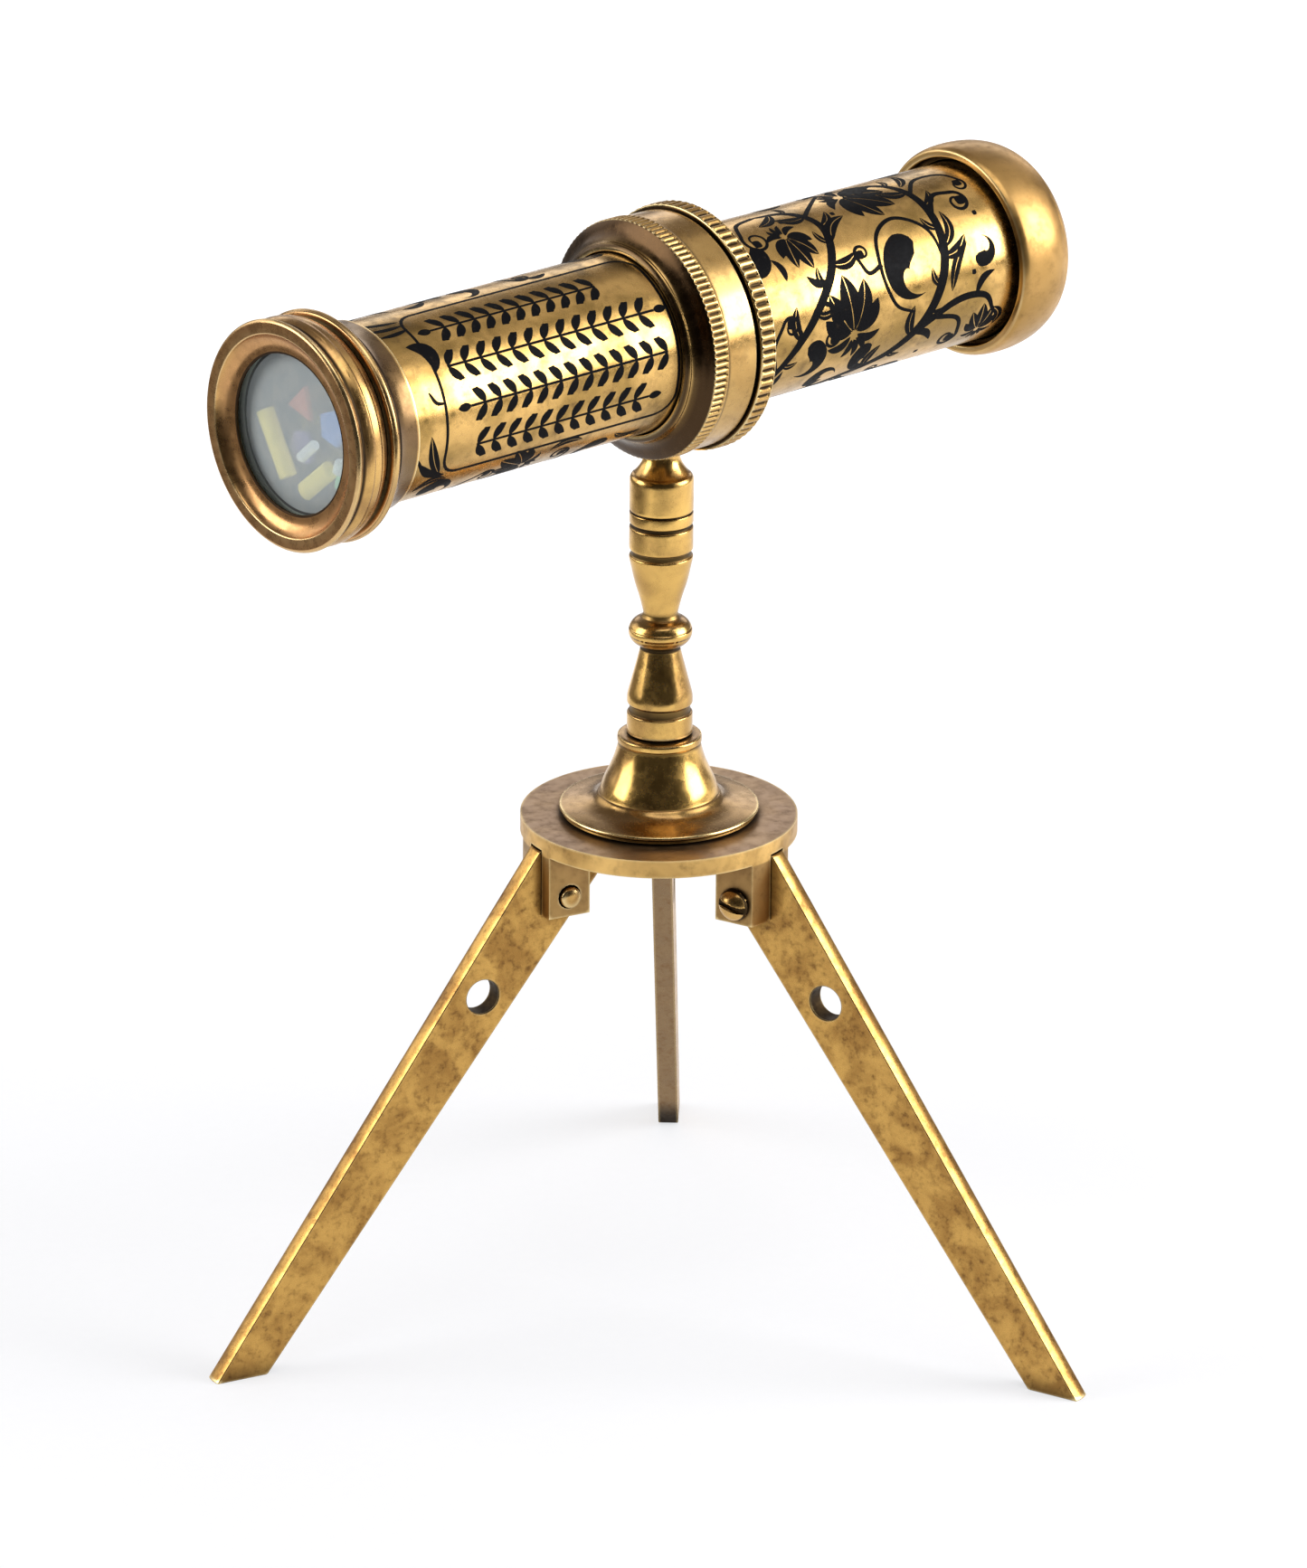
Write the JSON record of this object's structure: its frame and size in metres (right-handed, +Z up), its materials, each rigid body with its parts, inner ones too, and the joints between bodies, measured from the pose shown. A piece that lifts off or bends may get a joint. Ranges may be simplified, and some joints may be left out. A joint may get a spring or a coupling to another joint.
{
  "type": "kaleidoscope",
  "caption": "Brass desk kaleidoscope: an ornamented mirror tube with a turning object cell, held by a collar on a turned post over a folding tripod.",
  "frame": {"origin": "middle of the part's own box on the surface that it stands on, 6.7 mm behind the post axis", "axes": "+Z up along the post; +Y towards the rear leg; the barrel lies level and its eyepiece points 43.2 degrees from +X towards +Y"},
  "size_m": [0.1394, 0.1456, 0.1827],
  "materials": {
    "head_brass": "antiqued, satin, with a bright worn rim",
    "leg_brass": "antiqued, brushed, with brown mottling",
    "screw_brass": "satin",
    "post_brass": "polished, antiqued, dark in the grooves",
    "collar_brass": "antiqued, polished edges",
    "tube_brass": "antiqued, engraved and black-filled ornament",
    "cell_brass": "antiqued to a reddish bronze",
    "cap_brass": "satin, antiqued",
    "frosted_glass": "lightly frosted",
    "clear_glass": "clear",
    "mirror_glass": "front-silvered",
    "black_card": "matte black",
    "grey_felt": "felt",
    "yellow_plastic": "glossy, see-through",
    "clear_plastic": "glossy, see-through",
    "orange_plastic": "glossy, see-through",
    "blue_plastic": "glossy, see-through",
    "violet_plastic": "glossy, see-through",
    "green_plastic": "glossy, see-through"
  },
  "bodies": {
    "stand": {"tripod_head": "head_brass", "pivot_screw_left": "screw_brass", "pivot_screw_right": "screw_brass", "pivot_screw_back": "screw_brass", "base_washer": "screw_brass", "base_screw": "screw_brass", "post_base": "post_brass", "post_stem": "post_brass"},
    "leg_left": {"leg_left": "leg_brass"},
    "leg_right": {"leg_right": "leg_brass"},
    "leg_back": {"leg_back": "leg_brass"},
    "collar": {"collar_body": "collar_brass", "collar_stud": "screw_brass", "collar_felt": "grey_felt"},
    "lock_ring": {"collar_lock_ring": "collar_brass"},
    "barrel": {"tube": "tube_brass", "front_ferrule": "cell_brass", "eyepiece_cap": "cap_brass", "eye_stop": "black_card", "eyepiece_window": "clear_glass", "mirror_strip_a": "mirror_glass", "mirror_strip_b": "mirror_glass", "mirror_strip_c": "mirror_glass", "mirror_packing_front": "black_card", "mirror_packing_rear": "black_card"},
    "object_cell": {"cell_ring": "cell_brass", "front_glass": "frosted_glass", "inner_glass": "clear_glass", "cell_spacer": "black_card", "cell_retaining_ring": "cell_brass", "chip_yellow_long": "yellow_plastic", "chip_yellow_short": "yellow_plastic", "chip_clear_rod": "clear_plastic", "chip_clear_bead": "clear_plastic", "chip_orange": "orange_plastic", "chip_blue": "blue_plastic", "chip_violet": "violet_plastic", "chip_green": "green_plastic"}
  },
  "joints": [
    {"name": "leg_left_fold", "type": "hinge", "parent": "stand", "child": "leg_left", "pos_m": [-0.01559, -0.01573, 0.0727], "axis": [0.5, -0.866, 0], "range_deg": [0, 38]},
    {"name": "leg_right_fold", "type": "hinge", "parent": "stand", "child": "leg_right", "pos_m": [0.01559, -0.01573, 0.0727], "axis": [0.5, 0.866, 0], "range_deg": [0, 38]},
    {"name": "leg_back_fold", "type": "hinge", "parent": "stand", "child": "leg_back", "pos_m": [0, 0.01127, 0.0727], "axis": [-1, 0, 0], "range_deg": [0, 38]},
    {"name": "collar_pan", "type": "hinge", "parent": "stand", "child": "collar", "pos_m": [0, -0.00673, 0.1436], "axis": [0, 0, 1], "continuous": true},
    {"name": "lock_ring_turn", "type": "hinge", "parent": "collar", "child": "lock_ring", "pos_m": [0, -0.00673, 0.1629], "axis": [0.729, 0.6845, 0], "range_deg": [0, 90]},
    {"name": "barrel_turn", "type": "hinge", "parent": "collar", "child": "barrel", "pos_m": [0, -0.00673, 0.1629], "axis": [0.729, 0.6845, 0], "continuous": true},
    {"name": "cell_turn", "type": "hinge", "parent": "barrel", "child": "object_cell", "pos_m": [0, -0.00673, 0.1629], "axis": [0.729, 0.6845, 0], "continuous": true}
  ]
}
